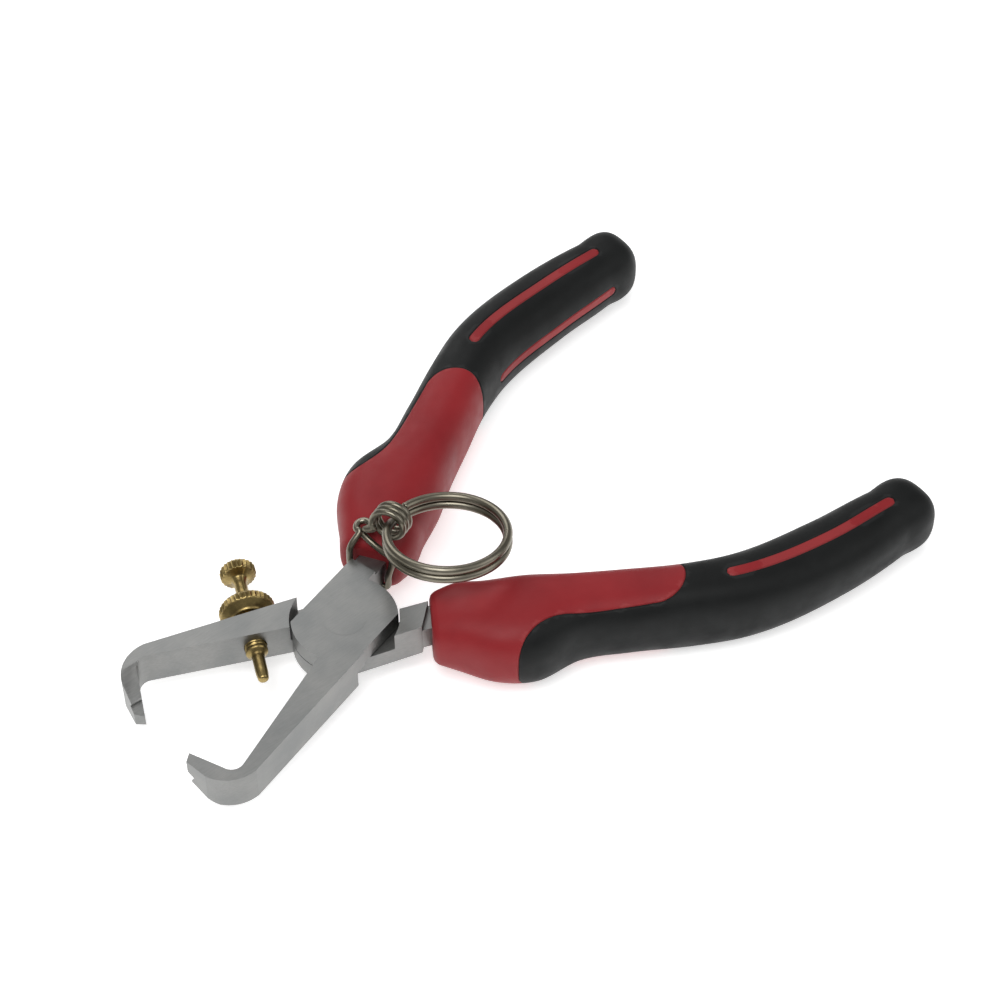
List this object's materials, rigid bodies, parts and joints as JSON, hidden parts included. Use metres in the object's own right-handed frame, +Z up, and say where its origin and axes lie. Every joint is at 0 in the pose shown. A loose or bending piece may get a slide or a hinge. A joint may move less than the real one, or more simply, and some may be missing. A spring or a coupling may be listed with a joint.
{
  "type": "wire stripper",
  "caption": "Hand wire stripper: crossed steel halves on a flush rivet, hooked V-notched jaws, two-colour moulded grips, an adjustable brass stop screw with lock nut, and a split ring.",
  "frame": {"origin": "on the pivot axis at the underside of the lap joint, with the tool open as stored", "axes": "+X from the pivot toward the handles, +Y toward the side with the stop screw and the tethered handle, +Z up along the pivot axis"},
  "size_m": [0.1503, 0.1028, 0.026],
  "materials": {
    "steel": "satin",
    "rivet_steel": "satin",
    "red_plastic": "satin",
    "black_rubber": "soft satin",
    "brass": "turned, lightly dulled",
    "wire_steel": "nickel plated wire"
  },
  "bodies": {
    "lower_side": {"lower_half": "steel", "pivot_rivet": "rivet_steel", "lower_grip_core": "red_plastic", "lower_grip_cover": "black_rubber"},
    "upper_side": {"upper_half": "steel", "upper_grip_core": "red_plastic", "upper_grip_cover": "black_rubber", "neck_wire": "wire_steel"},
    "screw": {"stop_screw": "brass"},
    "head": {"thumb_head": "brass"},
    "nut": {"lock_nut": "brass"},
    "ring": {"split_ring": "wire_steel"}
  },
  "joints": [
    {"name": "handles", "type": "hinge", "parent": "lower_side", "child": "upper_side", "pos_m": [0, 0, 0.0039], "axis": [0, 0, 1], "range_deg": [-19.7, 6]},
    {"name": "head_turn", "type": "hinge", "parent": "screw", "child": "head", "pos_m": [-0.01554, 0.00747, 0.0039], "axis": [0.4179, 0.9085, 0], "range_deg": [-360, 1800]},
    {"name": "screw_travel", "type": "slide", "parent": "lower_side", "child": "screw", "axis": [0.4179, 0.9085, 0], "range_m": [-0.0007, 0.0035]},
    {"name": "nut_turn", "type": "hinge", "parent": "lower_side", "child": "nut", "pos_m": [-0.01554, 0.00747, 0.0039], "axis": [0.4179, 0.9085, 0], "range_deg": [0, 180]},
    {"name": "ring_swing", "type": "hinge", "parent": "upper_side", "child": "ring", "pos_m": [0.0177, 0.00777, 0.01553], "axis": [-0.8798, -0.4357, 0.1901], "range_deg": [0, 45]}
  ],
  "couplings": [
    {"joint": "head_turn", "follows": "screw_travel", "rad_per_m": 8976}
  ]
}
